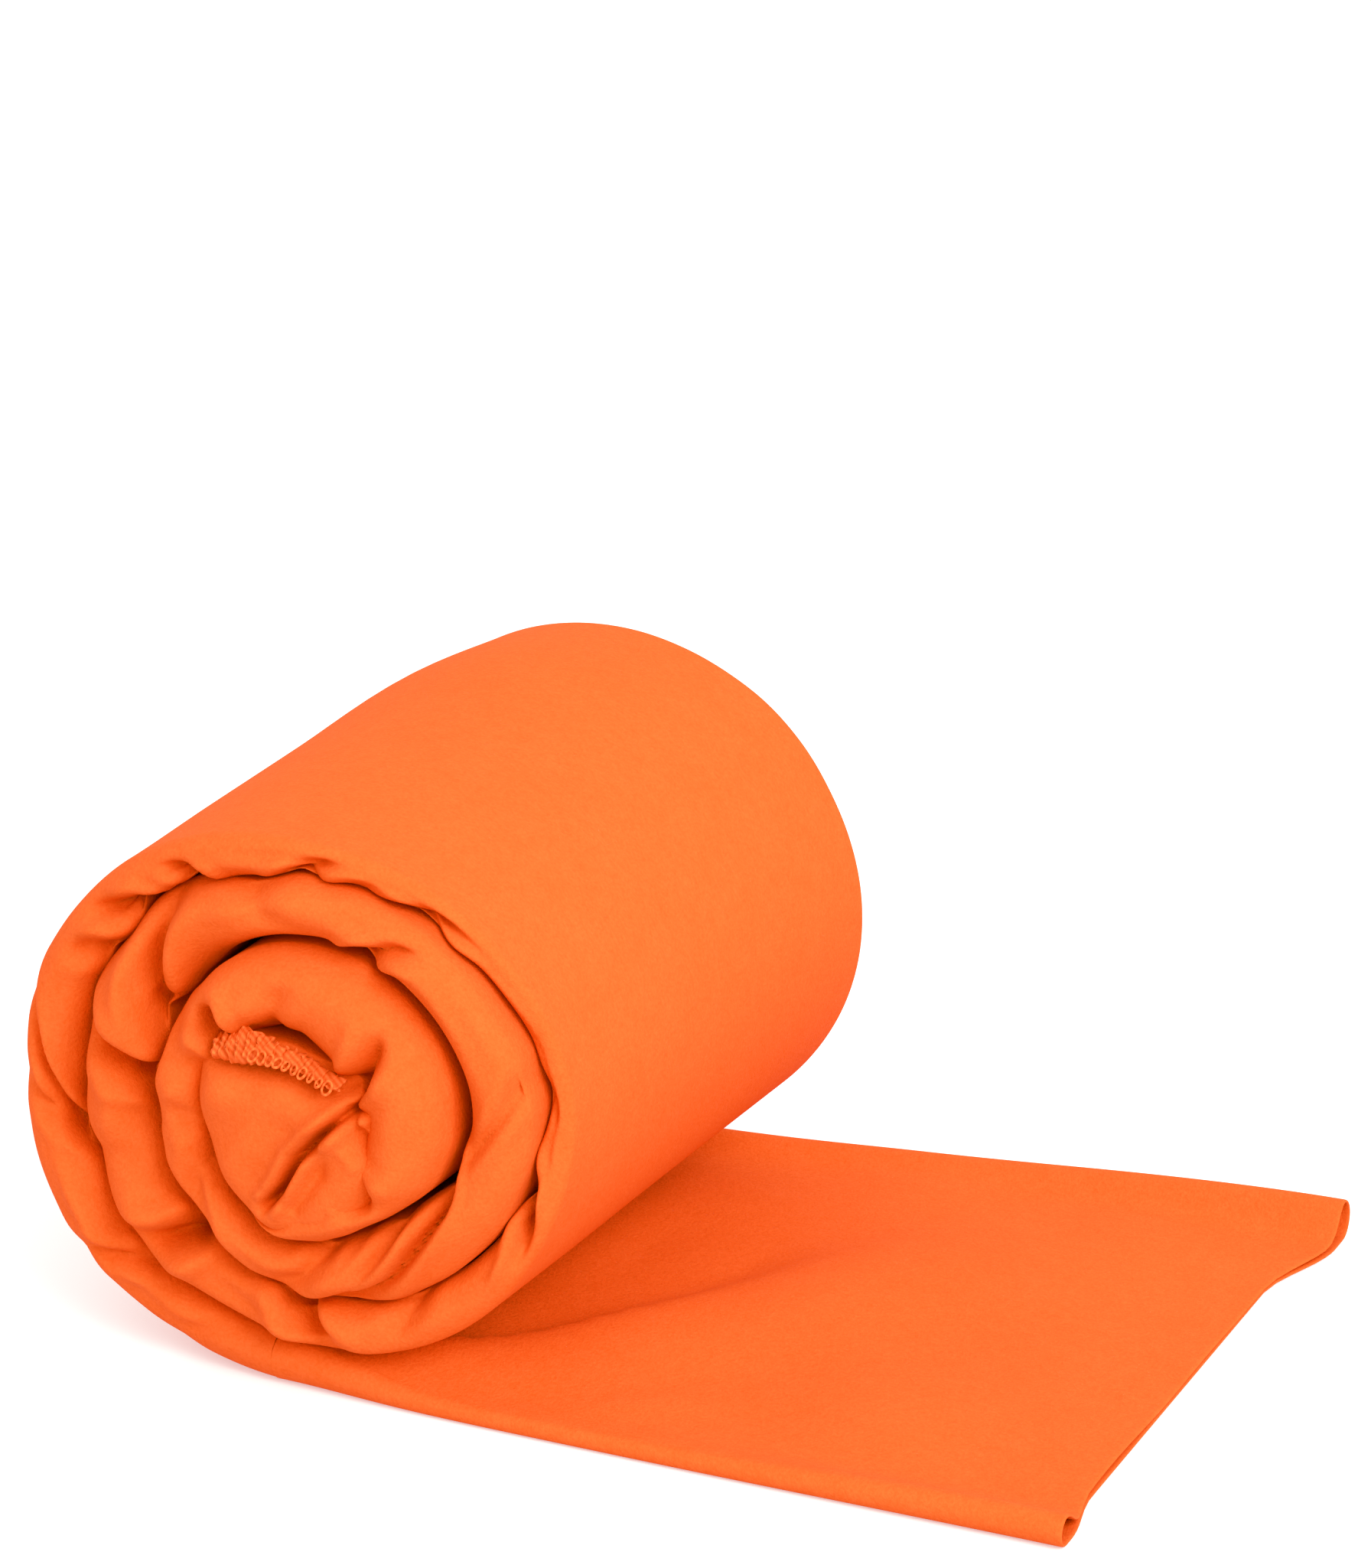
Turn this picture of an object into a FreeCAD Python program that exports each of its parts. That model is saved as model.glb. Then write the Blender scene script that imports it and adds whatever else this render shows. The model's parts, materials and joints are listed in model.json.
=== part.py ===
import FreeCAD, Part

import math
import os
import sys

import Sketcher

# A quick dry towel, folded lengthwise into a strip, rolled up, with a flat tail.
# Millimetres. The roll's axis runs along Y, the tail runs along +X, and +Z is up.
# Behind every body, x = 0 is the roll's axis and z = 0 is the surface that it lies on.
# Each half turn is round: left halves share one centre, and right halves share another
# that is half a pitch higher, so that the halves meet and wind inwards. The tail lies looser
# than the coil, so it is wider by tail_spread, all at its back edge.

DRIVING_SIZES = {
    "strip_width": 156.0,
    "roll_diameter": 120.0,
    "turn_pitch": 13.5,
    "turn_gap": 0.6,
    "turn_step": 5.0,
    "start_gap_angle": 2.0,
    "hem_thickness": 1.2,
    "hem_width": 4.0,
    "hem_angle": 120.0,
    "tail_thickness": 5.0,
    "tail_spread": 10.0,
    "root_length": 17.0,
    "section_length": 31.2,
    "section_gap": 0.6,
    "fold_depth": 9.0,
    "fold_wall": 1.3,
}
SECTION_COUNT = 5
SOLID_TURNS = ("outer_turn", "middle_turn", "inner_turn")
HALF_TURN = "180"
LEFT_ARC = (math.pi / 2, 3 * math.pi / 2)
RIGHT_ARC = (-math.pi / 2, math.pi / 2)

doc = FreeCAD.newDocument("quick_dry_towel")
sheet = doc.addObject("Spreadsheet::Sheet", "Sizes")
for row, (size_name, size_value) in enumerate(DRIVING_SIZES.items(), start=1):
    sheet.set("A%d" % row, size_name)
    sheet.set("B%d" % row, str(size_value))
    sheet.setAlias("B%d" % row, size_name)
doc.recompute()

TURN_THICKNESS = "(Sizes.turn_pitch - Sizes.turn_gap)"
LEFT_CENTRE_Z = "(Sizes.roll_diameter / 2)"
RIGHT_CENTRE_Z = "(Sizes.roll_diameter / 2 + Sizes.turn_pitch / 2)"
TAIL_REACH = "(Sizes.root_length + %d * Sizes.section_length)" % SECTION_COUNT
CORE_STEP = "(%d * Sizes.turn_step)" % len(SOLID_TURNS)
MIDDLE_Y = "(%d * Sizes.turn_step / 2 - Sizes.tail_spread / 2)" % (len(SOLID_TURNS) - 1)

sub_parts = []


def bind_placement(item):
    """Moves a sub-part from the roll's axis to the frame's origin, the middle of its footprint."""
    item.setExpression("Placement.Base.x", "-(%s - Sizes.roll_diameter / 2) / 2" % TAIL_REACH)
    item.setExpression("Placement.Base.y", MIDDLE_Y)


def new_body(name):
    body = doc.addObject("PartDesign::Body", name)
    body.Label = name
    bind_placement(body)
    sub_parts.append(body)
    return body


def origin_plane(body, role):
    return next(item for item in body.Origin.OriginFeatures if item.Role == role)


def sketch_across_roll(body, name, height_expression):
    """A sketch in the plane through the roll's axis, its own origin raised to a half turn's centre."""
    sketch = body.newObject("Sketcher::SketchObject", name)
    sketch.AttachmentSupport = [(origin_plane(body, "YZ_Plane"), "")]
    sketch.MapMode = "FlatFace"
    sketch.setExpression("AttachmentOffset.Base.y", height_expression)
    return sketch


def name_and_bind(sketch, index, name, expression):
    sketch.renameConstraint(index, name)
    sketch.setExpression("Constraints." + name, expression)


def add_strip_outline(sketch, radius_expression, thickness_expression, shift_expression):
    """The strip's section: a flat slot with round ends, which are its two folded edges."""
    end_radius = (DRIVING_SIZES["turn_pitch"] - DRIVING_SIZES["turn_gap"]) / 2
    half = DRIVING_SIZES["strip_width"] / 2 - end_radius
    middle = DRIVING_SIZES["roll_diameter"] / 2
    up = FreeCAD.Vector(0, 0, 1)
    left_centre = FreeCAD.Vector(-half, middle, 0)
    right_centre = FreeCAD.Vector(half, middle, 0)
    top = FreeCAD.Vector(0, end_radius, 0)
    left = sketch.addGeometry(
        Part.ArcOfCircle(Part.Circle(left_centre, up, end_radius), *LEFT_ARC), False
    )
    lower = sketch.addGeometry(Part.LineSegment(left_centre - top, right_centre - top), False)
    right = sketch.addGeometry(
        Part.ArcOfCircle(Part.Circle(right_centre, up, end_radius), *RIGHT_ARC), False
    )
    upper = sketch.addGeometry(Part.LineSegment(right_centre + top, left_centre + top), False)
    joins = ((left, 2, lower, 1), (right, 1, lower, 2), (right, 2, upper, 1), (left, 1, upper, 2))
    for arc, arc_end, line, line_end in joins:
        sketch.addConstraint(Sketcher.Constraint("Coincident", arc, arc_end, line, line_end))
        sketch.addConstraint(Sketcher.Constraint("Vertical", arc, arc_end, arc, 3))
    sketch.addConstraint(Sketcher.Constraint("Horizontal", lower))
    sketch.addConstraint(Sketcher.Constraint("Horizontal", upper))
    radius = sketch.addConstraint(Sketcher.Constraint("Radius", left, end_radius))
    name_and_bind(sketch, radius, "end_radius", thickness_expression + " / 2")
    span = sketch.addConstraint(Sketcher.Constraint("DistanceX", left, 3, right, 3, 2 * half))
    name_and_bind(sketch, span, "span", "Sizes.strip_width - " + thickness_expression)
    height = sketch.addConstraint(Sketcher.Constraint("DistanceY", -1, 1, left, 3, middle))
    name_and_bind(sketch, height, "height", radius_expression)
    place = sketch.addConstraint(Sketcher.Constraint("DistanceX", left, 3, -1, 1, half))
    name_and_bind(
        sketch,
        place,
        "place",
        "Sizes.strip_width / 2 - %s / 2 + %s" % (thickness_expression, shift_expression),
    )


def revolve(body, sketch, name, angle_expression, towards_left):
    turn = body.newObject("PartDesign::Revolution", name)
    turn.Profile = sketch
    turn.ReferenceAxis = (sketch, ["H_Axis"])
    turn.Reversed = towards_left
    turn.setExpression("Angle", angle_expression)
    return turn


def build_turn(name, number, left_angle):
    """One turn of the strip: a left half, and a right half of a smaller radius that winds inwards."""
    body = new_body(name)
    shift = "%d * Sizes.turn_step" % number
    left_radius = "Sizes.roll_diameter / 2 - %s / 2 - %d * Sizes.turn_pitch" % (TURN_THICKNESS, number)
    right_radius = left_radius + " - Sizes.turn_pitch / 2"
    left_sketch = sketch_across_roll(body, name + "_left_section", LEFT_CENTRE_Z)
    add_strip_outline(left_sketch, left_radius, TURN_THICKNESS, shift)
    revolve(body, left_sketch, name + "_left", left_angle, True)
    right_sketch = sketch_across_roll(body, name + "_right_section", RIGHT_CENTRE_Z)
    add_strip_outline(right_sketch, right_radius, TURN_THICKNESS, shift)
    revolve(body, right_sketch, name + "_right", HALF_TURN, False)


def half_cylinder(name, radius_expression, centre_expression, turn_angle):
    """Half a cylinder along the roll's axis, with its flat side in the plane x = 0."""
    piece = doc.addObject("Part::Cylinder", name)
    piece.setExpression("Radius", radius_expression)
    piece.setExpression("Height", "Sizes.strip_width - " + TURN_THICKNESS)
    piece.Angle = 180
    lie_down = FreeCAD.Rotation(FreeCAD.Vector(1, 0, 0), 90)
    about_axis = FreeCAD.Rotation(FreeCAD.Vector(0, 1, 0), turn_angle)
    piece.Placement = FreeCAD.Placement(FreeCAD.Vector(0, 0, 0), about_axis * lie_down)
    piece.setExpression(
        "Placement.Base.y", "Sizes.strip_width / 2 - %s / 2 - %s" % (TURN_THICKNESS, CORE_STEP)
    )
    piece.setExpression("Placement.Base.z", centre_expression)
    return piece


def build_core_tongue():
    """The rolled-in end of the strip, a D that fills the middle and leaves the hem room over it."""
    left_radius = "Sizes.roll_diameter / 2 - %d * Sizes.turn_pitch - 2 * Sizes.turn_gap" % len(SOLID_TURNS)
    left_radius += " - Sizes.hem_thickness"
    left_half = half_cylinder("tongue_left", left_radius, LEFT_CENTRE_Z, -90)
    right_half = half_cylinder(
        "tongue_right", left_radius + " - Sizes.turn_pitch / 2", RIGHT_CENTRE_Z, 90
    )
    tongue = doc.addObject("Part::Fuse", "core_tongue")
    tongue.Label = "core_tongue"
    tongue.Base = left_half
    tongue.Tool = right_half
    bind_placement(tongue)
    sub_parts.append(tongue)


def build_core_hem():
    """The overlocked edge that shows over the mouth of the rolled-in end."""
    body = new_body("core_hem")
    sketch = sketch_across_roll(body, "core_hem_section", LEFT_CENTRE_Z)
    front_edge = DRIVING_SIZES["strip_width"] / 2
    underside = DRIVING_SIZES["roll_diameter"] / 2 - len(SOLID_TURNS) * DRIVING_SIZES["turn_pitch"]
    hem_width = DRIVING_SIZES["hem_width"]
    hem_thickness = DRIVING_SIZES["hem_thickness"]
    points = [
        FreeCAD.Vector(-front_edge, underside, 0),
        FreeCAD.Vector(hem_width - front_edge, underside, 0),
        FreeCAD.Vector(hem_width - front_edge, underside + hem_thickness, 0),
        FreeCAD.Vector(-front_edge, underside + hem_thickness, 0),
    ]
    sides = []
    for number, start in enumerate(points):
        end = points[(number + 1) % len(points)]
        sides.append(sketch.addGeometry(Part.LineSegment(start, end), False))
    for number, side in enumerate(sides):
        follower = sides[(number + 1) % len(sides)]
        sketch.addConstraint(Sketcher.Constraint("Coincident", side, 2, follower, 1))
        direction = "Horizontal" if number % 2 == 0 else "Vertical"
        sketch.addConstraint(Sketcher.Constraint(direction, side))
    wide = sketch.addConstraint(Sketcher.Constraint("DistanceX", sides[0], 1, sides[0], 2, hem_width))
    name_and_bind(sketch, wide, "width", "Sizes.hem_width")
    thick = sketch.addConstraint(
        Sketcher.Constraint("DistanceY", sides[1], 1, sides[1], 2, hem_thickness)
    )
    name_and_bind(sketch, thick, "thickness", "Sizes.hem_thickness")
    low = sketch.addConstraint(Sketcher.Constraint("DistanceY", -1, 1, sides[0], 1, underside))
    name_and_bind(
        sketch,
        low,
        "underside",
        "Sizes.roll_diameter / 2 - %d * Sizes.turn_pitch - Sizes.turn_gap - Sizes.hem_thickness"
        % len(SOLID_TURNS),
    )
    front = sketch.addConstraint(Sketcher.Constraint("DistanceX", sides[0], 1, -1, 1, front_edge))
    name_and_bind(
        sketch, front, "front", "Sizes.strip_width / 2 - %s / 2 + %s" % (TURN_THICKNESS, CORE_STEP)
    )
    revolve(body, sketch, "core_hem_arc", "Sizes.hem_angle", True)


def build_layer(name, start_expression, length_expression, level):
    """One of the strip's two flat layers between its folds, at level 0 (lower) or 1 (upper)."""
    layer = doc.addObject("Part::Box", name)
    layer.Label = name
    layer.setExpression("Length", length_expression)
    layer.setExpression("Width", "Sizes.strip_width + Sizes.tail_spread - 2 * Sizes.fold_depth")
    layer.setExpression("Height", "Sizes.tail_thickness / 2")
    bind_placement(layer)
    layer.setExpression(
        "Placement.Base.x",
        "-(%s - Sizes.roll_diameter / 2) / 2 + %s" % (TAIL_REACH, start_expression),
    )
    layer.setExpression(
        "Placement.Base.y", MIDDLE_Y + " - Sizes.strip_width / 2 + Sizes.fold_depth"
    )
    layer.setExpression("Placement.Base.z", "%d * Sizes.tail_thickness / 2" % level)
    sub_parts.append(layer)


def add_fold_outline(sketch, side):
    """A rounded C, closed towards the strip's edge on the given side (-1 front, 1 back)."""
    outer = DRIVING_SIZES["tail_thickness"] / 2
    inner = outer - DRIVING_SIZES["fold_wall"]
    centre_reach = DRIVING_SIZES["strip_width"] / 2 - outer
    mouth_reach = DRIVING_SIZES["strip_width"] / 2 - DRIVING_SIZES["fold_depth"]
    centre = FreeCAD.Vector(side * centre_reach, outer, 0)
    mouth = side * mouth_reach
    up = FreeCAD.Vector(0, 0, 1)
    half_round = LEFT_ARC if side < 0 else RIGHT_ARC
    bulge = sketch.addGeometry(Part.ArcOfCircle(Part.Circle(centre, up, outer), *half_round), False)
    hollow = sketch.addGeometry(Part.ArcOfCircle(Part.Circle(centre, up, inner), *half_round), False)
    low_end, high_end = (2, 1) if side < 0 else (1, 2)

    def leg(height):
        start = FreeCAD.Vector(centre.x, centre.y + height, 0)
        end = FreeCAD.Vector(mouth, centre.y + height, 0)
        return sketch.addGeometry(Part.LineSegment(start, end), False)

    legs = [leg(outer), leg(inner), leg(-inner), leg(-outer)]
    for arc, end, line in (
        (bulge, high_end, legs[0]),
        (hollow, high_end, legs[1]),
        (hollow, low_end, legs[2]),
        (bulge, low_end, legs[3]),
    ):
        sketch.addConstraint(Sketcher.Constraint("Coincident", arc, end, line, 1))
        sketch.addConstraint(Sketcher.Constraint("Horizontal", line))
        sketch.addConstraint(Sketcher.Constraint("Vertical", arc, end, arc, 3))
    for top_leg, bottom_leg in ((legs[0], legs[1]), (legs[2], legs[3])):
        heights = (centre.y + outer, centre.y + inner)
        if top_leg == legs[2]:
            heights = (centre.y - inner, centre.y - outer)
        start = FreeCAD.Vector(mouth, heights[0], 0)
        end = FreeCAD.Vector(mouth, heights[1], 0)
        closing = sketch.addGeometry(Part.LineSegment(start, end), False)
        sketch.addConstraint(Sketcher.Constraint("Coincident", top_leg, 2, closing, 1))
        sketch.addConstraint(Sketcher.Constraint("Coincident", bottom_leg, 2, closing, 2))
        sketch.addConstraint(Sketcher.Constraint("Vertical", closing))
    sketch.addConstraint(Sketcher.Constraint("Vertical", legs[0], 2, legs[3], 2))
    sketch.addConstraint(Sketcher.Constraint("Coincident", bulge, 3, hollow, 3))
    radius = sketch.addConstraint(Sketcher.Constraint("Radius", bulge, outer))
    name_and_bind(sketch, radius, "outer_radius", "Sizes.tail_thickness / 2")
    bore = sketch.addConstraint(Sketcher.Constraint("Radius", hollow, inner))
    name_and_bind(sketch, bore, "inner_radius", "Sizes.tail_thickness / 2 - Sizes.fold_wall")
    height = sketch.addConstraint(Sketcher.Constraint("DistanceY", -1, 1, bulge, 3, outer))
    name_and_bind(sketch, height, "height", "Sizes.tail_thickness / 2")
    ends = (bulge, 3, -1, 1) if side < 0 else (-1, 1, bulge, 3)
    place = sketch.addConstraint(Sketcher.Constraint("DistanceX", *ends, centre_reach))
    edge = "Sizes.strip_width / 2" if side < 0 else "Sizes.strip_width / 2 + Sizes.tail_spread"
    name_and_bind(sketch, place, "place", edge + " - Sizes.tail_thickness / 2")
    mouth_ends = (legs[0], 2, -1, 1) if side < 0 else (-1, 1, legs[0], 2)
    reach = sketch.addConstraint(Sketcher.Constraint("DistanceX", *mouth_ends, mouth_reach))
    name_and_bind(sketch, reach, "mouth", edge + " - Sizes.fold_depth")


def build_fold(name, start_expression, length_expression, side):
    """A folded edge of the strip: a loop of cloth, open towards the layers."""
    body = new_body(name)
    sketch = body.newObject("Sketcher::SketchObject", name + "_section")
    sketch.AttachmentSupport = [(origin_plane(body, "YZ_Plane"), "")]
    sketch.MapMode = "FlatFace"
    sketch.setExpression("AttachmentOffset.Base.z", start_expression)
    add_fold_outline(sketch, side)
    pad = body.newObject("PartDesign::Pad", name + "_length")
    pad.Profile = sketch
    pad.setExpression("Length", length_expression)


def build_stretch(name, start_expression, length_expression):
    """A flat stretch of the strip: two layers between a front and a back fold."""
    build_layer(name + "_lower_layer", start_expression, length_expression, 0)
    build_layer(name + "_upper_layer", start_expression, length_expression, 1)
    build_fold(name + "_front_fold", start_expression, length_expression, -1)
    build_fold(name + "_back_fold", start_expression, length_expression, 1)


def build_tail():
    build_stretch("tail_root", "0", "Sizes.root_length - Sizes.section_gap / 2")
    for number in range(SECTION_COUNT):
        start = "Sizes.root_length + %d * Sizes.section_length + Sizes.section_gap / 2" % number
        build_stretch("tail_%d" % (number + 1), start, "Sizes.section_length - Sizes.section_gap")


def check_document():
    for item in doc.Objects:
        if "Invalid" in item.State or "Error" in item.State:
            sys.exit("failed: %s %s" % (item.Name, item.State))
    for piece in sub_parts:
        if piece.Shape.isNull() or not piece.Shape.isValid():
            sys.exit("bad shape: " + piece.Label)


build_turn("outer_turn", 0, HALF_TURN)
build_turn("middle_turn", 1, HALF_TURN)
build_turn("inner_turn", 2, HALF_TURN + " - Sizes.start_gap_angle")
build_core_tongue()
build_core_hem()
build_tail()
doc.recompute()
check_document()

os.makedirs("parts", exist_ok=True)
for piece in sub_parts:
    piece.Shape.exportStep("parts/%s.step" % piece.Label)
    box = piece.Shape.BoundBox
    print(
        "%-24s volume %10.1f  x %7.2f %7.2f  y %7.2f %7.2f  z %6.2f %6.2f"
        % (piece.Label, piece.Shape.Volume, box.XMin, box.XMax, box.YMin, box.YMax, box.ZMin, box.ZMax)
    )
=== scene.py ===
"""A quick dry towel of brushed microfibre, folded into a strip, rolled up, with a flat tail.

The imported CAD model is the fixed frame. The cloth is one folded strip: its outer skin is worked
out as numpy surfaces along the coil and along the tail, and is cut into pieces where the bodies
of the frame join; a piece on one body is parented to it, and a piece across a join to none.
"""

import json
import logging
import math
from dataclasses import dataclass, field
from enum import Enum

import bpy
import numpy as np
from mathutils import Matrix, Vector

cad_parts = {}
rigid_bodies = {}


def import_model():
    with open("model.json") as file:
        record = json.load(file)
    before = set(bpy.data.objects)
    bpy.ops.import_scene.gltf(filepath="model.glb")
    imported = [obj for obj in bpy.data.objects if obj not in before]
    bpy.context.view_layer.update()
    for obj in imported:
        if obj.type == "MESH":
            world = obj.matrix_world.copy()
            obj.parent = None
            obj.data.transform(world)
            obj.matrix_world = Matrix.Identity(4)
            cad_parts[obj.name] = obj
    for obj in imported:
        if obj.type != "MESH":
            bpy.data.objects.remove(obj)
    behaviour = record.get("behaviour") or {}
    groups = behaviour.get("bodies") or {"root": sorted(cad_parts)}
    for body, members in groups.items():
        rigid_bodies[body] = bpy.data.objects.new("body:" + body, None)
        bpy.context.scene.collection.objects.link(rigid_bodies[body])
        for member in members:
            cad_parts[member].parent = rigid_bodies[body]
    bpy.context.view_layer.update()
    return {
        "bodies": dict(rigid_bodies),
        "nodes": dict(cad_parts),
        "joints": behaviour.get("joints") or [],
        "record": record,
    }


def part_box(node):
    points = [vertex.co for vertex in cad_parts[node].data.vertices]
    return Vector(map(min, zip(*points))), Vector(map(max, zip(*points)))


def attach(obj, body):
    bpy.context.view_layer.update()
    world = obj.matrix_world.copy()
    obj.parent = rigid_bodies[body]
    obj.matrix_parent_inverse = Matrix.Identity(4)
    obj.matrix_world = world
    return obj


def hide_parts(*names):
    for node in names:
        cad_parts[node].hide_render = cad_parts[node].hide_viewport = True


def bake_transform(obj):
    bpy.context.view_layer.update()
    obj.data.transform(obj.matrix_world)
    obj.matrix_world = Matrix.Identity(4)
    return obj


LOG = logging.getLogger("towel")
MM = 0.001
Array = np.ndarray


class Body(Enum):
    """The rigid bodies of the frame that the cloth follows."""

    ROLL = "roll"
    CORE = "core"


class Slot(Enum):
    """The record's material slots."""

    CLOTH = "towel_cloth"
    THREAD = "hem_thread"


# ---------------------------------------------------------------- numbers along a curve


def smooth_step(value: Array) -> Array:
    """Rises from 0 to 1 as value goes from 0 to 1, level at both ends: 3v^2 - 2v^3."""
    held = np.clip(value, 0.0, 1.0)
    return held * held * (3.0 - 2.0 * held)


def hump(value: Array, middle: float, width: float) -> Array:
    """A bell, exp(-((value - middle) / width)^2)."""
    return np.exp(-(((value - middle) / width) ** 2))


def through_points(heights: Array, spacing: float, where: Array, closed: bool = False) -> Array:
    """A smooth curve through evenly spaced values.

    Between two values it is the cubic whose slope at each value is half the difference of the
    values on either side of it (Catmull-Rom).

    Args:
        heights: The values, the first at 0, each spacing after the one before.
        spacing: The distance between neighbours.
        where: Where the curve is read.
        closed: Whether the last value runs on to the first.

    Returns:
        The curve's value at each place.
    """
    heights = np.asarray(heights, float)
    count = len(heights)
    place = np.asarray(where, float) / spacing
    if not closed:
        place = np.clip(place, 0.0, count - 1.0001)
    low = np.floor(place).astype(int)
    part = place - low

    def value(index: Array) -> Array:
        """The value with that number, the end ones standing for those beyond them."""
        return heights[index % count] if closed else heights[np.clip(index, 0, count - 1)]

    before, start, end, after = value(low - 1), value(low), value(low + 1), value(low + 2)
    slope_start, slope_end = (end - before) / 2, (after - start) / 2
    square, cube = part**2, part**3
    return (
        (2 * cube - 3 * square + 1) * start
        + (cube - 2 * square + part) * slope_start
        + (3 * square - 2 * cube) * end
        + (cube - square) * slope_end
    )


def ripple(*axes: Array, seed: int, waves: int = 10, low: float = 0.5, high: float = 1.5) -> Array:
    """Soft, even noise: a sum of sine waves in random directions, scaled to about -1 to 1.

    Args:
        axes: The coordinates, each already divided by the size of a feature.
        seed: Picks the directions and phases, which are the same on every run.
        waves: How many waves are added.
        low: The slowest wave, in turns per unit.
        high: The fastest wave.

    Returns:
        The noise, with the shape that the coordinates broadcast to.
    """
    draw = np.random.default_rng(seed)
    total = 0.0
    for _ in range(waves):
        direction = draw.normal(size=len(axes))
        direction *= draw.uniform(low, high) / np.linalg.norm(direction)
        phase = draw.uniform(0, 2 * math.pi)
        total = total + np.sin(2 * math.pi * sum(d * a for d, a in zip(direction, axes)) + phase)
    return total / math.sqrt(waves)


def distance_to_path(across: Array, up: Array, path: list[tuple[float, float]]) -> tuple[Array, Array]:
    """How far points of a plane are from a bent line.

    Args:
        across: First coordinates.
        up: Second coordinates.
        path: The corners of the line.

    Returns:
        The distance, and how far along the line the nearest point is, from 0 to 1.
    """
    corners = np.array(path, float)
    lengths = np.hypot(*np.diff(corners, axis=0).T)
    best = np.full(np.shape(across), np.inf)
    along = np.zeros(np.shape(across))
    done = 0.0
    for start, end, length in zip(corners[:-1], corners[1:], lengths):
        run = (end - start) / length
        part = np.clip((across - start[0]) * run[0] + (up - start[1]) * run[1], 0, length)
        gap = np.hypot(across - start[0] - part * run[0], up - start[1] - part * run[1])
        along = np.where(gap < best, (done + part) / lengths.sum(), along)
        best = np.minimum(gap, best)
        done += length
    return best, along


# ---------------------------------------------------------------- meshes


def grid_mesh(
    name: str, points: Array, close_columns: bool = False, cap_ends: bool = False
) -> bpy.types.Object:
    """Makes a mesh object of a grid of points.

    Args:
        name: The piece's name.
        points: Rows by columns by 3, in millimetres from the frame's origin.
        close_columns: Whether the last column joins the first.
        cap_ends: Whether the first and the last row are filled in; columns must be even.

    Returns:
        The new object, smooth shaded, its place in its mesh.
    """
    rows, columns = points.shape[:2]
    row = np.arange(rows - 1)[:, None]
    column = np.arange(columns if close_columns else columns - 1)[None, :]
    next_row, next_column = row + 1, (column + 1) % columns
    faces = np.stack(
        [
            row * columns + column,
            row * columns + next_column,
            next_row * columns + next_column,
            next_row * columns + column,
        ],
        axis=-1,
    ).reshape(-1, 4)
    if cap_ends:
        left = np.arange(columns // 2 - 1)
        right = columns - 1 - left
        cap = np.stack([left, right, right - 1, left + 1], axis=-1)
        faces = np.concatenate([faces, cap, (rows - 1) * columns + cap[:, ::-1]])
    return face_mesh(name, points.reshape(-1, 3), faces)


def face_mesh(name: str, points: Array, faces: Array) -> bpy.types.Object:
    """Makes a smooth mesh object of points in millimetres and faces of four corners."""
    mesh = bpy.data.meshes.new(name)
    mesh.vertices.add(len(points))
    mesh.vertices.foreach_set("co", (points * MM).astype(np.float32).ravel())
    mesh.loops.add(faces.size)
    mesh.loops.foreach_set("vertex_index", faces.astype(np.int32).ravel())
    mesh.polygons.add(len(faces))
    mesh.polygons.foreach_set("loop_start", np.arange(0, faces.size, 4, dtype=np.int32))
    mesh.polygons.foreach_set("use_smooth", np.ones(len(faces), bool))
    mesh.update(calc_edges=True)
    mesh.validate()
    piece = bpy.data.objects.new(name, mesh)
    bpy.context.scene.collection.objects.link(piece)
    return piece


def add_wall(piece: bpy.types.Object, thickness: float) -> None:
    """Gives a skin the cloth's thickness, on its inner side."""
    wall = piece.modifiers.new("cloth_thickness", "SOLIDIFY")
    wall.thickness = thickness * MM
    wall.offset = -1.0


# ---------------------------------------------------------------- finishes


class Value:
    """A number or socket in a shader, with Math nodes added by Python's own operators."""

    def __init__(self, maker: "Shader", socket: bpy.types.NodeSocket) -> None:
        """Wraps a node's output socket."""
        self.maker = maker
        self.socket = socket

    def _math(self, operation: str, first: object, second: object) -> "Value":
        """Adds one Math node."""
        return self.maker.node("ShaderNodeMath", {"operation": operation}, {0: first, 1: second})

    def __add__(self, other: object) -> "Value":
        """self + other"""
        return self._math("ADD", self, other)

    __radd__ = __add__

    def __sub__(self, other: object) -> "Value":
        """self - other"""
        return self._math("SUBTRACT", self, other)

    def __rsub__(self, other: object) -> "Value":
        """other - self"""
        return self._math("SUBTRACT", other, self)

    def __mul__(self, other: object) -> "Value":
        """self * other"""
        return self._math("MULTIPLY", self, other)


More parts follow.
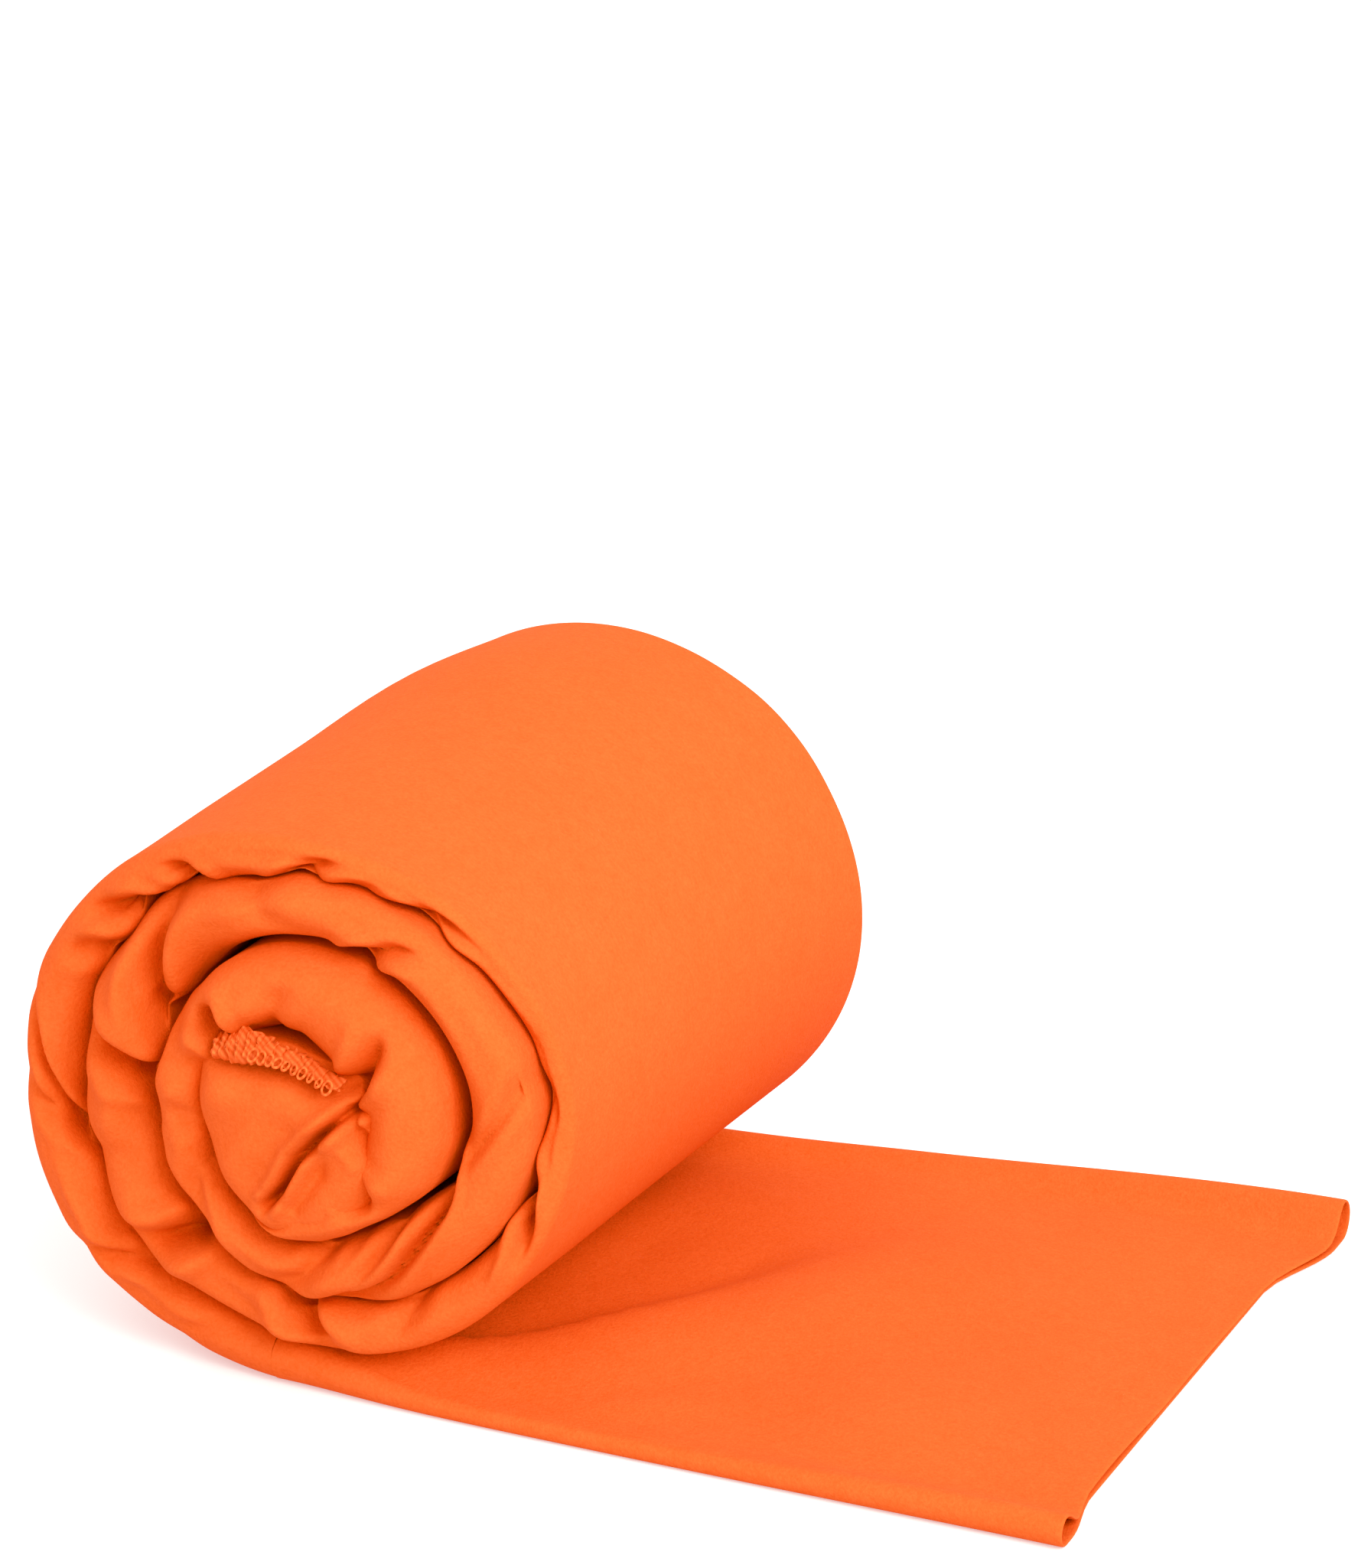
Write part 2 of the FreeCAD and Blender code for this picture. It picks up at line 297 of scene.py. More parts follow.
class Shader:
    """Builds one material's nodes."""

    def __init__(self, name: str) -> None:
        """Starts an empty material of that name, with a Principled shader on its output."""
        self.material = bpy.data.materials.new(name)
        self.material.use_nodes = True
        self.tree = self.material.node_tree
        self.tree.nodes.clear()
        self.output = self.tree.nodes.new("ShaderNodeOutputMaterial")
        self.surface = self.tree.nodes.new("ShaderNodeBsdfPrincipled")
        self.tree.links.new(self.surface.outputs[0], self.output.inputs[0])

    def node(self, kind: str, settings: dict, values: dict, output: object = 0) -> Value:
        """Adds a node.

        Args:
            kind: The node's type.
            settings: Its own settings, which are set first.
            values: The value or link of each socket, by name or number.
            output: Which output to return.

        Returns:
            The output, wrapped.
        """
        made = self.tree.nodes.new(kind)
        for key, setting in settings.items():
            if key == "stops":
                self._set_stops(made.color_ramp, setting)
            else:
                setattr(made, key, setting)
        for key, value in values.items():
            self._feed(made.inputs[key], value)
        return Value(self, made.outputs[output])

    def _set_stops(self, ramp: bpy.types.ColorRamp, stops: list) -> None:
        """Gives a colour ramp its stops, each a place and a colour."""
        while len(ramp.elements) < len(stops):
            ramp.elements.new(1.0)
        for element, (place, colour) in zip(ramp.elements, stops):
            element.position = place
            element.color = (*colour, 1.0)

    def _feed(self, socket: bpy.types.NodeSocket, value: object) -> None:
        """Links a wrapped socket or sets a plain value."""
        if isinstance(value, Value):
            self.tree.links.new(value.socket, socket)
        elif hasattr(value, "__len__") and len(value) == 3 and len(socket.default_value) == 4:
            socket.default_value = (*value, 1.0)
        else:
            socket.default_value = value

    def mix(self, factor: object, first: object, second: object) -> Value:
        """A colour between two colours."""
        return self.node(
            "ShaderNodeMix",
            {"data_type": "RGBA"},
            {0: factor, 6: first, 7: second},
            output=2,
        )

    def noise(self, place: Value, feature: float, detail: float = 2.0, rough: float = 0.5) -> Value:
        """Noise from 0 to 1 whose features are that many millimetres across."""
        return self.node(
            "ShaderNodeTexNoise",
            {},
            {"Vector": place, "Scale": 1.0 / (feature * MM), "Detail": detail, "Roughness": rough},
        )

    def place(self) -> Value:
        """The object's own coordinates."""
        return self.node("ShaderNodeTexCoord", {}, {}, output="Object")

    def finish(self, **sockets: object) -> bpy.types.Material:
        """Sets the shader's sockets, with _ for each space in a name, and returns the material."""
        for name, value in sockets.items():
            self._feed(self.surface.inputs[name.replace("_", " ")], value)
        return self.material


@dataclass(frozen=True)
class BrushedMicrofibre:
    """Soft brushed cloth: a short nap that catches light at the edges, faintly mottled, with painted sheen in
    soft patches and painted shade where the pile is low.
    """

    colour: tuple[float, float, float] = (0.65, 0.136, 0.029)
    # A lighter copy of the colour for soft random patches: painted sheen of the brushed nap.
    painted_sheen: tuple[float, float, float] = (0.68, 0.158, 0.038)
    # A darker copy of the colour for where the pile is low: random mottle and painted shade among the fibres.
    deep: tuple[float, float, float] = (0.44, 0.082, 0.012)
    nap_mm: float = 0.8
    patch_mm: float = 11.0
    pile_height_mm: float = 0.11

    def material(self) -> bpy.types.Material:
        """Builds the cloth."""
        shader = Shader("brushed_microfibre")
        place = shader.place()
        nap = shader.noise(place, self.nap_mm, detail=3.0, rough=0.65)
        patches = shader.noise(place, self.patch_mm, detail=4.0, rough=0.6)
        brushed = shader.noise(place, self.patch_mm / 4, detail=2.0)
        # Lighter in soft random patches: painted sheen of the brushed nap.
        light = shader.mix(patches * 0.9, self.colour, self.painted_sheen)
        # Darker where the pile is low: random mottle and painted shade among the fibres.
        mottled = shader.mix((1 - nap) * 0.9 + (1 - brushed) * 0.25 - 0.32, light, self.deep)
        pile = nap * 0.7 + brushed * 0.3
        bump = shader.node(
            "ShaderNodeBump",
            {},
            {"Strength": 0.75, "Distance": self.pile_height_mm * MM * 4, "Height": pile},
        )
        return shader.finish(
            Base_Color=mottled,
            Roughness=0.86 + nap * 0.12,
            Normal=bump,
            Specular_IOR_Level=0.05,
            Sheen_Weight=0.08,
            Sheen_Roughness=0.5,
            Sheen_Tint=(1.0, 0.42, 0.14),
        )


@dataclass(frozen=True)
class OverlockThread:
    """Glossier polyester thread, ribbed along its twist."""

    colour: tuple[float, float, float] = (0.78, 0.200, 0.050)
    shade: tuple[float, float, float] = (0.40, 0.062, 0.008)
    twist_mm: float = 0.5

    def material(self) -> bpy.types.Material:
        """Builds the thread."""
        shader = Shader("overlock_thread")
        place = shader.place()
        twist = shader.node(
            "ShaderNodeTexWave",
            {"bands_direction": "DIAGONAL"},
            {"Vector": place, "Scale": 1.0 / (self.twist_mm * MM) / 6, "Distortion": 2.0},
            output=1,
        )
        fuzz = shader.noise(place, 0.4, detail=3.0)
        bump = shader.node(
            "ShaderNodeBump", {}, {"Strength": 0.6, "Distance": 0.0002, "Height": twist * 0.6 + fuzz * 0.4}
        )
        return shader.finish(
            Base_Color=shader.mix(twist * 0.5 + fuzz * 0.3, self.colour, self.shade),
            Roughness=0.62 + fuzz * 0.2,
            Normal=bump,
            Specular_IOR_Level=0.1,
            Sheen_Weight=0.06,
            Sheen_Tint=(1.0, 0.5, 0.2),
        )


@dataclass(frozen=True)
class PaleFloor:
    """A matt white floor with a trace of tone."""

    colour: tuple[float, float, float] = (0.50, 0.50, 0.50)
    glow: float = 0.45

    def material(self) -> bpy.types.Material:
        """Builds the floor's finish."""
        shader = Shader("pale_floor")
        tone = shader.noise(shader.place(), 180.0)
        darker = tuple(c * 0.985 for c in self.colour)
        return shader.finish(
            Base_Color=shader.mix(tone, self.colour, darker),
            Roughness=0.9,
            Specular_IOR_Level=0.1,
            Emission_Color=(1.0, 1.0, 1.0),
            Emission_Strength=self.glow,
        )


# ---------------------------------------------------------------- the strip's section


@dataclass(frozen=True)
class Section:
    """The closed outline of the folded strip, as a list of places round it.

    Going round, it runs over the front fold from the inner to the outer side, along the outer
    side to the back, over the back fold and along the inner side to the front again.
    side is the height across the strip's thickness, -1 inner to 1 outer; tip is 1 at the crest
    of a fold and 0 on the flat sides; span is 0 at the front fold and 1 at the back one.
    """

    fold_points: int = 26
    side_points: int = 34
    edge_crowding: float = 0.12

    def outline(self) -> tuple[Array, Array, Array]:
        """Works out side, tip and span for every place round the section."""
        angle = (np.arange(self.fold_points) / self.fold_points - 0.5) * math.pi
        part = np.arange(self.side_points) / self.side_points
        eased = part - self.edge_crowding * np.sin(2 * math.pi * part)
        side = np.concatenate(
            [np.sin(angle), np.ones_like(part), np.sin(-angle), -np.ones_like(part)]
        )
        tip = np.concatenate([np.cos(angle), 0 * part, np.cos(angle), 0 * part])
        span = np.concatenate([0 * angle, eased, 0 * angle + 1, 1 - eased])
        return side, tip, span


@dataclass(frozen=True)
class Pucker:
    """A small fold that crosses a turn's front face.

    turn_angle is where it starts, on the turn's outer crease (or on the inner one, where
    from_outer is false), and slant how many degrees it leans over the turn's thickness. width is
    its half width and depth how far it sinks, both in millimetres; reach is how far it runs over
    the face, as a share of the turn's thickness.
    """

    turn_angle: float
    width: float
    depth: float
    slant: float = 0.0
    reach: float = 0.8
    from_outer: bool = True


@dataclass
class Coil:
    """The rolled part of the strip, from where it leaves the floor to the middle.

    Angles run on from turn to turn: 0 is the floor, 90 the side away from the tail, 180 the top
    and 270 the side towards the tail. crease_radii are the strip's outer radius at every
    eighth of a turn, in millimetres from the middle of the roll, so the value one turn further
    on is its inner radius; most began as measured places of the creases, rounded and then
    changed. setbacks are stretches whose front fold stays back, each with its
    middle and width in degrees and its depth; the inner end of the strip stays back as well.
    """

    axis_x: float
    middle_y: float
    centre_height: float
    half_width: float
    step_degrees: float = 1.1
    crease_radii: tuple[float, ...] = (
        60.0, 60.5, 60.5, 60.5, 61.0, 62.0, 62.4, 58.8,
        48.8, 47.0, 45.0, 48.5, 52.5, 56.0, 56.5, 47.8,
        35.5, 28.0, 26.0, 29.5, 38.5, 45.0, 43.5, 32.5,
        22.5, 12.5, 10.5, 13.5, 19.5, 21.5, 24.0, 21.0,
        19.0,
    )
    girths: tuple[tuple[float, ...], ...] = (
        (1.000, 1.000, 1.000, 1.000, 1.000),
        (1.014, 1.014, 1.016, 1.026, 1.016),
        (0.980, 1.002, 1.023, 1.043, 1.027),
        (0.984, 1.004, 1.025, 1.053, 1.046),
        (1.015, 1.018, 1.022, 1.038, 1.050),
        (1.040, 1.060, 1.056, 1.066, 1.080),
    )
    clearance: float = 0.15
    core_clearance: float = 1.5
    core_start: float = 705.0
    forward_per_turn: float = 3.2
    dish_per_turn: float = 2.2
    setbacks: tuple[tuple[float, float, float], ...] = ((258.0, 42.0, 13.0), (622.0, 45.0, 4.0))
    end_setback: float = 9.0
    end_start: float = 1052.0
    fold_taper: float = 0.15
    smallest_fold: float = 2.0
    largest_fold: float = 9.0
    pucker_run: float = 10.0
    pucker_depth: float = 1.2
    puckers: tuple[Pucker, ...] = (
        Pucker(24, 3.0, 1.6, -10, 0.8),
        Pucker(51, 2.6, 3.6, -13, 1.1),
        Pucker(90, 2.8, 3.0, -15, 1.1),
        Pucker(111, 3.2, 4.2, -37, 1.3),
        Pucker(129, 3.0, 2.6, -6, 0.6, False),
        Pucker(146, 3.2, 6.0, -14, 0.9, False),
        Pucker(164, 2.6, 4.2, -8, 0.6, False),
        Pucker(190, 3.2, 3.4, 8, 0.8, False),
        Pucker(204, 3.6, 0.8, 5, 0.5, False),
        Pucker(216, 4.4, 3.0, 10, 0.7, False),
        Pucker(262, 3.6, 1.2, 6, 0.6, False),
        Pucker(281, 3.6, 6.0, 16, 1.0, False),
        Pucker(318, 3.4, 1.8, 12, 0.8, False),
        Pucker(350, 3.6, 6.4, -7, 1.0, False),
        Pucker(388, 3.2, 8.4, 15, 0.9, False),
        Pucker(430, 3.6, 1.2, -8, 0.8),
        Pucker(458, 3.4, 6.6, 12, 1.0, False),
        Pucker(489, 4.6, 6.4, 26, 1.0, False),
        Pucker(540, 3.4, 1.4, 8, 0.8),
        Pucker(572, 2.6, 3.8, 12, 0.9, False),
        Pucker(618, 2.4, 2.2, 18, 0.9),
        Pucker(642, 3.6, 4.6, 50, 1.2, False),
        Pucker(664, 2.6, 2.4, 34, 1.1, False),
        Pucker(690, 2.6, 2.2, 24, 1.0, False),
        Pucker(765, 4.0, 1.6, -8, 0.9, False),
        Pucker(808, 4.2, 0.8, 8, 0.9),
        Pucker(884, 2.4, 6.5, -10, 0.8, False),
        Pucker(912, 2.6, 1.4, 6, 0.7, False),
        Pucker(968, 2.4, 5.4, -18, 0.8, False),
        Pucker(1014, 2.6, 4.4, 8, 0.8, False),
    )
    section: Section = field(default_factory=Section)

    def radius(self, angle: Array) -> Array:
        """The strip's outer radius at an angle counted on from the floor.

        Inside the outer turn it wanders by a soft ripple, so that no crease is a true circle.
        """
        wander = 0.55 * ripple(angle / 52.0, seed=15) + 0.1 * ripple(angle / 21.0, seed=2)
        inside = smooth_step((angle - 350.0) / 60.0)
        return through_points(self.crease_radii, 45.0, angle) + wander * inside

    def front_edge(self, angle: Array) -> Array:
        """How far forward the front fold reaches: each turn stands out past the one outside it."""
        forward = self.forward_per_turn * angle / 360.0 + 0.9 * ripple(angle / 70.0, seed=4)
        setback = self.end_setback * smooth_step((angle - self.end_start) / 50.0)
        for middle, width, depth in self.setbacks:
            setback = setback + depth * hump(angle, middle, width)
        return -self.half_width - forward + setback

    def back_edge(self, angle: Array) -> Array:
        """How far back the back fold reaches, with a shallow dish towards the middle."""
        dish = self.dish_per_turn * angle / 360.0
        return self.half_width - dish + 0.8 * ripple(angle / 80.0, seed=9)

    def barrel(self, angle: Array, along: Array) -> Array:
        """How much larger the roll is at a place: its front is slimmer and its back fuller.

        girths has a row for every 60 degrees, each with a value for every quarter of the width.
        The rows at 120 and 180 degrees and the end of the row at 60 were made by another program, a
        least-squares fit to the roll's outline. The rest is given.
        """
        spacing = 360.0 / len(self.girths)
        total = 0.0
        for share, girth in zip(np.eye(len(self.girths)), self.girths):
            at_angle = through_points(share, spacing, angle, closed=True)
            at_width = through_points(girth, self.half_width / 2, along + self.half_width)
            total = total + at_angle * at_width
        return total

    def folds(self, angle: Array, side: Array, radius: Array) -> Array:
        """How deep the puckers sink at each place of the front face, in millimetres.

        Each is a sharp groove with a low ridge on either side:
        exp(-|v|^1.5) - 0.3 exp(-(|v| - 2.1)^2), where v is the distance from its line over its
        width.
        """
        total = np.zeros(np.broadcast(angle, side).shape)
        for pucker in self.puckers:
            into = (1 - side) / 2 if pucker.from_outer else (1 + side) / 2
            line = pucker.turn_angle + pucker.slant * into
            offset = np.radians(angle - line) * radius / pucker.width
            groove = np.exp(-(np.abs(offset) ** 1.5)) - 0.3 * hump(np.abs(offset), 2.1, 1.0)
            fade = 1.0 - smooth_step((into - pucker.reach * 0.55) / (pucker.reach * 0.6))
            total += self.pucker_depth * pucker.depth * groove * fade
        return total

    def surface(self, angles: Array) -> Array:
        """The strip's skin at the given angles.

        At each angle the section is centred between the strip's outer and inner radius. Its
        folds are half ellipses, and the puckers and ripples push the skin inwards.

        Args:
            angles: Degrees from the floor, in order.

        Returns:
            Angles by places round the section by 3, in millimetres.
        """
        side, tip, span = self.section.outline()
        angle = np.asarray(angles, float)[:, None]
        outer, inner = self.radius(angle), self.radius(angle + 360.0)
        outer = outer - self.core_clearance * smooth_step((angle - self.core_start) / 30.0)
        middle, half = (outer + inner) / 2, (outer - inner) / 2 - self.clearance
        fullness = np.clip(half, self.smallest_fold, self.largest_fold)
        front = self.front_edge(angle) + fullness
        back = self.back_edge(angle) - fullness
        toward = np.where(span < 0.5, -1.0, 1.0)
        along = front + (back - front) * span + toward * tip * fullness
        outside = smooth_step((side + 0.2) / 1.1) * smooth_step((352.0 - angle) / 30.0)
        off = half * side * (1.0 - self.fold_taper * (1.0 - outside) * tip**0.6)
        near_front = hump(np.clip(along - front, 0.0, None), 0.0, self.pucker_run)
        start = smooth_step(angle / 22.0)
        calm = (1.0 - 0.85 * outside) * start
        sink = self.folds(angle, side, middle) * near_front * calm
        soft = 0.55 * ripple(angle / 38.0, side * 0.7, seed=21)
        soft = soft + 0.06 * ripple(angle / 17.0, side, seed=8)
        along = along + toward * (tip**0.7 * soft * calm - smooth_step(tip * 2.5) * sink)
        inward = 0.3 * smooth_step((np.abs(side) - 0.3) / 0.5)
        off = off - np.sign(side) * sink * inward
        reach = middle + off
        turn = np.radians(angle)
        grow = self.barrel(angle, along)
        return np.stack(
            [
                self.axis_x - np.sin(turn) * reach * grow,
                self.middle_y + along,
                np.maximum((self.centre_height - np.cos(turn) * reach) * grow, 0.0),
            ],
            axis=-1,
        )

    def stretch(self, start: float, end: float) -> Array:
        """The skin between two angles."""
        count = max(8, int(round((end - start) / self.step_degrees)))
        return self.surface(np.linspace(start, end, count + 1))

    def length(self, start: float, end: float) -> float:
        """How long the strip is between two angles, along its own middle, in metres."""
        angle = np.linspace(start, end, 200)
        middle = (self.radius(angle) + self.radius(angle + 360.0)) / 2
        turn = np.radians(angle)
        return float(np.hypot(*np.diff([np.sin(turn) * middle, np.cos(turn) * middle])).sum()) * MM


@dataclass
class Tail:
    """The flat part of the strip, which runs out from under the roll.

    Its thickness and its loops' heights are halves, in millimetres. ridge is how far out the
    crest of its wrinkle lies and ridge_heights how high it is, at every ridge_spacing from front
    to back. flare is how far the back corner stands out and sag how far the open end stays back.
    """

    coil: Coil
    reach: float
    rest_thickness: float = 3.4
    end_thickness: float = 2.0
    edge_bulb: float = 2.0
    end_bulb: float = 3.9
    front_closing: float = 0.7
    opening_length: float = 95.0
    loop_width: float = 5.5
    root_length: float = 24.0
    root_shorter_at_back: float = 10.0
    back_lift: float = 0.9
    back_spread: float = 16.5
    step: float = 1.0
    ridge: tuple[float, ...] = (10.0, 41.0, 62.0, 75.0, 88.0, 102.0, 116.0)
    ridge_heights: tuple[float, ...] = (4.6, 4.8, 4.4, 3.0, 1.4, 0.4, 0.0)
    ridge_spacing: float = 26.0
    ridge_rise: float = 8.0
    ridge_fall: float = 34.0
    wrinkle_height: float = 0.9
    flare: float = 7.0
    sag: float = 2.6
    hem_turned_in: float = 14.0
    lip: float = 0.7

    def start_thickness(self) -> float:
        """Half the strip's thickness where the coil hands over to the tail."""
        radii = self.coil.radius(np.array([0.0, 360.0]))
        return float(radii[0] - radii[1]) / 2 - self.coil.clearance

    def surface(self, places: Array, inset: Array | float = 0.0) -> Array:
        """The strip's skin along the tail.

        The two layers lie close together and open into a loop of a teardrop's shape at each
        folded edge: the height over the floor is the layers' thickness, plus a bell over each
        loop, and the fold itself is half a circle.

        Args:
            places: Distances from the roll's axis, in millimetres.
            inset: How far inside the outer skin the points lie, at each place.

        Returns:
            Places by points round the section by 3, in millimetres.
        """
        side, tip, span = self.coil.section.outline()
        out = np.asarray(places, float)[:, None]
        inset = np.broadcast_to(inset, np.shape(places))[:, None]
        start = self.start_thickness()
        near = hump(np.clip(out, 0, None), 0.0, self.root_length - self.root_shorter_at_back * span)
        ending = smooth_step((out - self.reach + self.opening_length) / self.opening_length)
        flat = (self.rest_thickness + (self.end_thickness - self.rest_thickness) * ending) / 2
        end_bulb = self.end_bulb - self.front_closing * (1.0 - span)
        bulb = self.edge_bulb + (end_bulb - self.edge_bulb) * ending
        flat = flat + (start - flat) * near
        front_bulb = bulb + (start - bulb) * near
        back_bulb = bulb + self.back_lift + (start - bulb - self.back_lift) * near
        bulb = np.where(span < 0.5, front_bulb, back_bulb)
        share = out / self.reach
        zero = np.zeros(1)
        straight = smooth_step(share * 4)
        front = float(self.coil.front_edge(zero)[0]) * (1 - straight) - self.coil.half_width * straight
        back_start = float(self.coil.back_edge(zero)[0])
        spread = np.sin(np.clip(share, 0, 1) * math.pi / 2) - 0.08 * hump(share, 0.28, 0.15)
        back = back_start + (self.coil.half_width + self.back_spread - back_start) * spread
        width = back - front - front_bulb - back_bulb
        toward = np.where(span < 0.5, -1.0, 1.0)
        along = front + front_bulb + width * span + toward * tip * (bulb - inset)
        from_edge = width * np.minimum(span, 1 - span)
        thick = flat + (bulb - flat) * hump(from_edge, 0.0, self.loop_width)
        wander = ripple(out / 60.0, along / 60.0, seed=31) * 0.7 * (1 - near)
        across = along + self.ridge_spacing * (len(self.ridge) - 1) / 2
        ridge = through_points(self.ridge, self.ridge_spacing, across)
        crest = through_points(self.ridge_heights, self.ridge_spacing, across)
        swell = crest * hump(out, ridge, np.where(out < ridge, self.ridge_rise, self.ridge_fall))
        swell = swell + self.wrinkle_height * hump(out - 1.2 * along, 150.0, 8.0) * hump(along, -60.0, 22.0)
        lift = np.where(side > 0, np.clip(wander + swell, -0.6, None) * np.clip(from_edge / 12, 0, 1), 0)
        inner = 1.0 - smooth_step((0.2 - side) / 1.1)
        taper = 1.0 - self.coil.fold_taper * near * inner * tip**0.6
        height = thick + (thick - np.minimum(inset, 0.85 * thick)) * side * taper + lift * (tip < 0.01)
        flare = self.flare * smooth_step((along - 54.0) / 30.0)
        sag = self.sag * smooth_step((along + 72.0) / 18.0)
        turned = np.broadcast_to(out + (flare - sag) * smooth_step(share * 3 - 2), along.shape)
        return np.stack(
            [self.coil.axis_x + turned, self.coil.middle_y + along, np.maximum(height, 0.0)], axis=-1
        )

    def stretch(self, start: float, end: float) -> Array:
        """The skin between two distances from the roll's axis."""
        count = max(4, int(round((end - start) / self.step)))
        return self.surface(np.linspace(end, start, count + 1))

    def open_end(self, start: float) -> Array:
        """The skin from a place to the open end, over its lip and back along the inside."""
        outside = np.arange(start, self.reach - self.lip, self.step)
        bend = np.linspace(-0.5, 0.5, 7) * math.pi
        inside = np.arange(self.reach - self.lip, self.reach - self.hem_turned_in, -self.step)[1:]
        places = np.concatenate([outside, self.reach - self.lip + self.lip * np.cos(bend), inside])
        insets = np.concatenate([0 * outside, self.lip * (1 + np.sin(bend)) / 2, 0 * inside + self.lip])
        return self.surface(places[::-1], insets[::-1])


@dataclass(frozen=True)
class Crease:
    """A fold pressed into the tongue's face: its line, how deep it is and half its width."""

    path: tuple[tuple[float, float], ...]
    depth: float
    width: float


@dataclass
class Core:
    """The rolled-in end of the strip: a D shaped tongue, and the overlocked edge over its mouth."""

    coil: Coil
    rim: tuple[tuple[float, float], ...] = (
        (-8.0, 76.0), (-12.0, 67.0), (-10.5, 56.0), (-5.5, 45.0), (4.0, 37.0), (14.5, 36.0),
        (25.0, 42.5), (30.0, 53.0), (28.5, 64.0), (22.5, 71.5), (7.5, 76.5),
    )
    middle: tuple[float, float] = (8.5, 58.0)
    mouth_depth: float = 6.0
    creases: tuple[Crease, ...] = (
        Crease(
            ((5.0, 43.0), (9.5, 48.5), (13.5, 55.5), (17.5, 60.0), (24.0, 66.0), (29.0, 68.0)),
            depth=6.5, width=0.85,
        ),
        Crease(((18.5, 60.0), (17.5, 53.0), (13.5, 47.0), (10.0, 43.5)), depth=2.2, width=2.2),
        Crease(((24.0, 66.0), (26.5, 60.5), (29.5, 56.0)), depth=3.0, width=1.1),
        Crease(
            ((-8.0, 73.5), (0.0, 72.5), (9.0, 73.0), (18.0, 71.0), (25.0, 69.0)),
            depth=3.6, width=2.6,
        ),
    )
    face_forward: float = 10.5
    hem_forward: float = 10.0
    thread_forward: float = 10.7
    thread_radius: float = 0.3
    ruffles: int = 15
    hem_top: tuple[float, ...] = (78.4, 80.8, 79.0, 77.4, 75.6, 73.2)
    hem_foot: tuple[float, ...] = (74.0, 73.6, 74.2, 74.4, 73.4, 71.4)
    hem_start: float = -6.0
    hem_end: float = 22.5

    def face(self, rings: int = 60, spokes: int = 220) -> Array:
        """The tongue: a domed front face that rolls over into a wall running to the back.

        A ring is the rim drawn towards the middle by its share. The dome stands out by
        (1 - share^4), and each fold sinks by a bell of the distance to its line.

        Args:
            rings: How many rings the dome has.
            spokes: How many points each ring has.

        Returns:
            Rings by spokes by 3, in millimetres.
        """
        count = len(self.rim)
        turn = np.arange(spokes) / spokes * count
        rim_x = through_points([p[0] for p in self.rim], 1.0, turn, closed=True)
        rim_z = through_points([p[1] for p in self.rim], 1.0, turn, closed=True)
        share = np.sin(np.linspace(0.01, 0.5, rings) * math.pi)[:, None]
        across = self.middle[0] + (rim_x - self.middle[0]) * share
        up = self.middle[1] + (rim_z - self.middle[1]) * share
        front = -self.coil.half_width - self.face_forward
        along = front + self.mouth_depth * (share**6 * 1.1)
        for crease in self.creases:
            gap, part = distance_to_path(across, up, crease.path)
            fade = smooth_step(part * 8 + 0.3) * smooth_step((1 - part) * 6 + 0.4)
            ridge = 0.3 * hump(gap, crease.width * 3, crease.width * 1.6)
            along = along + crease.depth * fade * (hump(gap, 0.0, crease.width) - ridge)
        along = along + 0.8 * ripple(across / 16.0, up / 16.0, seed=12)
        depth = np.array([1.0, 4.0, 12.0, 30.0, 60.0, 90.0, 120.0, 142.0, 145.0])[:, None]
        level = smooth_step(depth / 60.0)
        wall = depth + along[-1:] * (1 - level) + along[-1:].mean() * level
        across = np.concatenate([across, np.repeat(across[-1:], len(wall), axis=0)])
        up = np.concatenate([up, np.repeat(up[-1:], len(wall), axis=0)])
        along = np.concatenate([along, wall])
        close = np.cos(np.linspace(0.08, 0.495, 26) * math.pi)[:, None]
        uneven = 0.9 * ripple(across[-1:] * close / 14.0, up[-1:] * close / 14.0, seed=6)
        back = along[-1:] + 3.0 * (1 - close**2) + uneven
        across = np.concatenate([across, self.middle[0] + (across[-1:] - self.middle[0]) * close])
        up = np.concatenate([up, self.middle[1] + (up[-1:] - self.middle[1]) * close])
        along = np.concatenate([along, back])
        grow = (self.coil.barrel(90.0, along) + self.coil.barrel(270.0, along)) / 2
        return np.stack(
            [self.coil.axis_x + across * grow, self.coil.middle_y + along, up * grow], axis=-1
        )

    def ribbon(self, columns: int = 240, rows: int = 22) -> Array:
        """The gathered edge: a band between two curves, thrown into small even ruffles."""
        part = np.linspace(0, 1, columns)[None, :]
        over = np.linspace(0, 1, rows)[:, None]
        across = self.hem_start + (self.hem_end - self.hem_start) * part
        spacing = 1.0 / (len(self.hem_top) - 1)
        top = through_points(self.hem_top, spacing, part)
        foot = through_points(self.hem_foot, spacing, part)
        up = foot + (top - foot) * over
        ruffle = np.sin(2 * math.pi * (self.ruffles * part + 0.35 * over + 0.4 * np.sin(9 * part)))
        ruffle = ruffle * (0.45 + 0.55 * over) + 0.8 * ripple(part * 16, over * 1.5, seed=3)
        front = -self.coil.half_width - self.hem_forward
        tucked = 1.5 * (1 - over) ** 2 + 4.2 * over**2
        along = front - 0.9 * np.sin(math.pi * over) + 0.6 * ruffle + tucked
        shift = 0.5 * np.cos(2 * math.pi * self.ruffles * part) * over
        return np.stack(
            [
                self.coil.axis_x + across + shift,
                self.coil.middle_y + along,
                up,
            ],
            axis=-1,
        )

